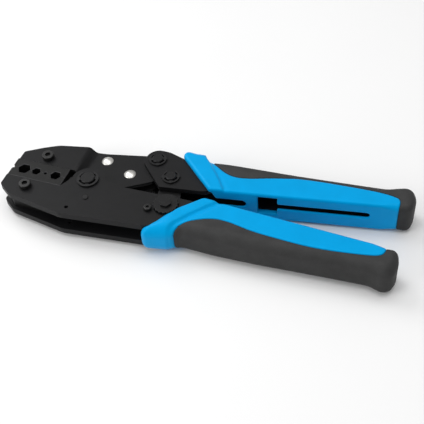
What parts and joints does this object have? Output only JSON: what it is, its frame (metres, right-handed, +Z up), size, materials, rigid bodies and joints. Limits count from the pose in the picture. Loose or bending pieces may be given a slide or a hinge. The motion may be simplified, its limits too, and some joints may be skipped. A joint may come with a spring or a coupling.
{
  "type": "ratcheting crimping tool",
  "caption": "Ratcheting toggle crimping tool: black steel plates, hex-cavity dies, a toggle-driven jaw, and grips with hard plastic sleeves and soft rubber backs.",
  "frame": {"origin": "middle of the tool's outline in plan, on the surface that it lies on (the undersides of the two grips)", "axes": "+X from the jaws to the ends of the grips, along the line where the dies meet; +Y from the fixed grip to the moving grip; +Z up, along the pivots, out of the front plate"},
  "size_m": [0.2204, 0.071, 0.0214],
  "materials": {
    "plate_steel": "black oxidised, satin, worn at the edges",
    "die_steel": "black oxidised, machined",
    "black_screw": "black oxidised",
    "pin_steel": "black oxidised, ground",
    "clip_steel": "phosphated spring steel",
    "bright_rivet": "bright",
    "spring_steel": "bright drawn wire",
    "grip_shell": "satin moulded plastic",
    "grip_cover": "soft matte rubber"
  },
  "bodies": {
    "frame": {"frame_plate_front": "plate_steel", "frame_plate_rear": "plate_steel", "lower_die": "die_steel", "lower_die_screw": "black_screw", "pivot_pin": "pin_steel", "pivot_clip": "clip_steel", "spring_pin": "pin_steel", "frame_spacer_1": "pin_steel", "frame_spacer_2": "pin_steel", "frame_rivet_1": "pin_steel", "frame_rivet_2": "pin_steel", "adjuster_lock_screw": "black_screw", "lower_grip_shell": "grip_shell", "lower_grip_cover": "grip_cover", "opening_spring": "spring_steel"},
    "adjuster": {"adjusting_wheel": "pin_steel", "eccentric_pin": "pin_steel"},
    "moving_jaw": {"jaw_plate_front": "plate_steel", "jaw_plate_rear": "plate_steel", "upper_die": "die_steel", "upper_die_screw": "black_screw", "jaw_rivet_1": "bright_rivet", "jaw_rivet_2": "bright_rivet", "jaw_spacer_1": "pin_steel", "jaw_spacer_2": "pin_steel"},
    "moving_handle": {"handle_plate_front": "plate_steel", "handle_plate_rear": "plate_steel", "jaw_pin": "pin_steel", "jaw_pin_clip": "clip_steel", "link_pin": "pin_steel", "link_pin_clip": "clip_steel", "pawl_pin": "pin_steel", "handle_spacer_1": "pin_steel", "handle_spacer_2": "pin_steel", "handle_rivet_1": "pin_steel", "handle_rivet_2": "pin_steel", "upper_grip_shell": "grip_shell", "upper_grip_cover": "grip_cover", "pawl_spring": "spring_steel"},
    "toggle_link": {"toggle_link": "pin_steel"},
    "pawl": {"ratchet_pawl": "pin_steel"}
  },
  "joints": [
    {"name": "jaw_pivot", "type": "hinge", "parent": "frame", "child": "moving_jaw", "pos_m": [-0.06456, -0.00808, 0.0105], "axis": [0, 0, -1], "range_deg": [0, 17.09]},
    {"name": "handle_open", "type": "hinge", "parent": "moving_jaw", "child": "moving_handle", "pos_m": [-0.03336, 0.01812, 0.0105], "axis": [0, 0, 1], "range_deg": [0, 57], "deforming": ["opening_spring"]},
    {"name": "link_pivot", "type": "hinge", "parent": "moving_handle", "child": "toggle_link", "pos_m": [-0.02126, 0.00722, 0.0105], "axis": [0, 0, -1], "range_deg": [0, 70.8]},
    {"name": "pawl_pivot", "type": "hinge", "parent": "moving_handle", "child": "pawl", "pos_m": [-0.00596, 0.01632, 0.0105], "axis": [0, 0, 1], "range_deg": [-7, 7], "stiffness_Nm_per_rad": 0.02, "deforming": ["pawl_spring"]},
    {"name": "adjuster_turn", "type": "hinge", "parent": "frame", "child": "adjuster", "pos_m": [-0.01596, -0.01398, 0.0105], "axis": [0, 0, 1], "range_deg": [-160, 160]}
  ],
  "couplings": [
    {"joint": "jaw_pivot", "follows": "handle_open", "ratio": 0.2928},
    {"joint": "link_pivot", "follows": "handle_open", "ratio": 1.235}
  ]
}
